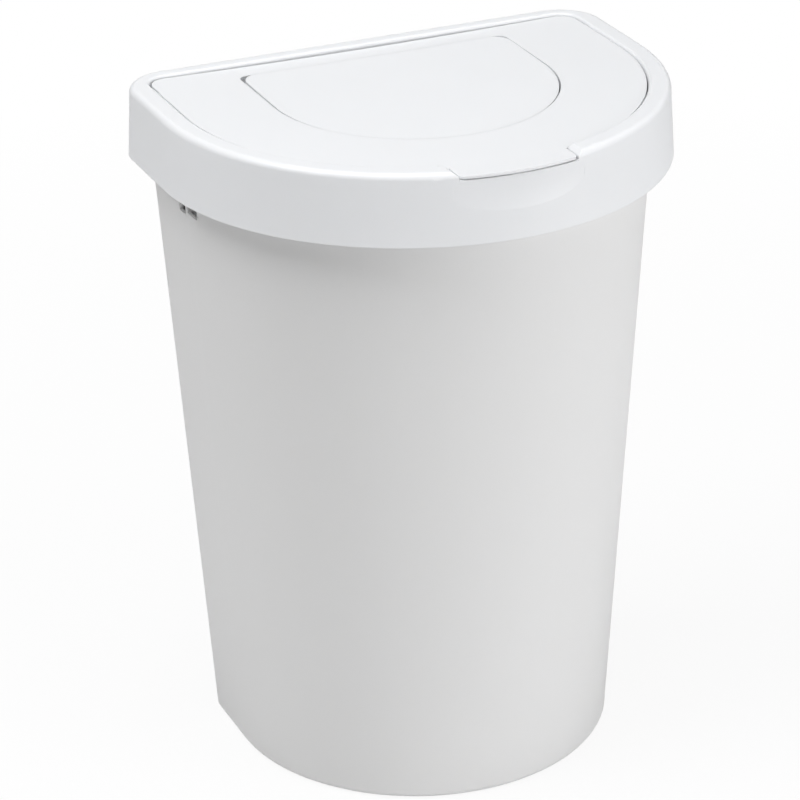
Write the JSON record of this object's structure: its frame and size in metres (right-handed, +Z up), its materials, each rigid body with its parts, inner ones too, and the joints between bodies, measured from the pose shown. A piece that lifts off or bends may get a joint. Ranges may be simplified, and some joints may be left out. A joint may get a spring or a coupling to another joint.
{
  "type": "swing lid waste bin",
  "caption": "Waste bin with a D-shaped plan: tapered tub, deep collar, hinged lid with a finger tab, and a swing flap in the lid.",
  "frame": {"origin": "centre of the overall bounding box, on the surface that the bin stands on", "axes": "+Z up, -Y the round front with the finger tab, +Y the flat back, X across the bin"},
  "size_m": [0.2638, 0.2038, 0.356],
  "materials": {
    "tub_plastic": "satin off-white moulded polypropylene",
    "lid_plastic": "satin white moulded polypropylene"
  },
  "bodies": {
    "tub": {"tub": "tub_plastic"},
    "collar": {"collar": "lid_plastic"},
    "lid": {"lid": "lid_plastic"},
    "flap": {"flap": "lid_plastic"}
  },
  "joints": [
    {"name": "collar_lift", "type": "slide", "parent": "tub", "child": "collar", "axis": [0, 0, 1], "range_m": [0, 0.06]},
    {"name": "lid_hinge", "type": "hinge", "parent": "collar", "child": "lid", "pos_m": [0, 0.072, 0.3498], "axis": [-1, 0, 0], "range_deg": [0, 100]},
    {"name": "flap_swing", "type": "hinge", "parent": "lid", "child": "flap", "pos_m": [0, 0.022, 0.3486], "axis": [1, 0, 0], "range_deg": [-75, 75]}
  ]
}
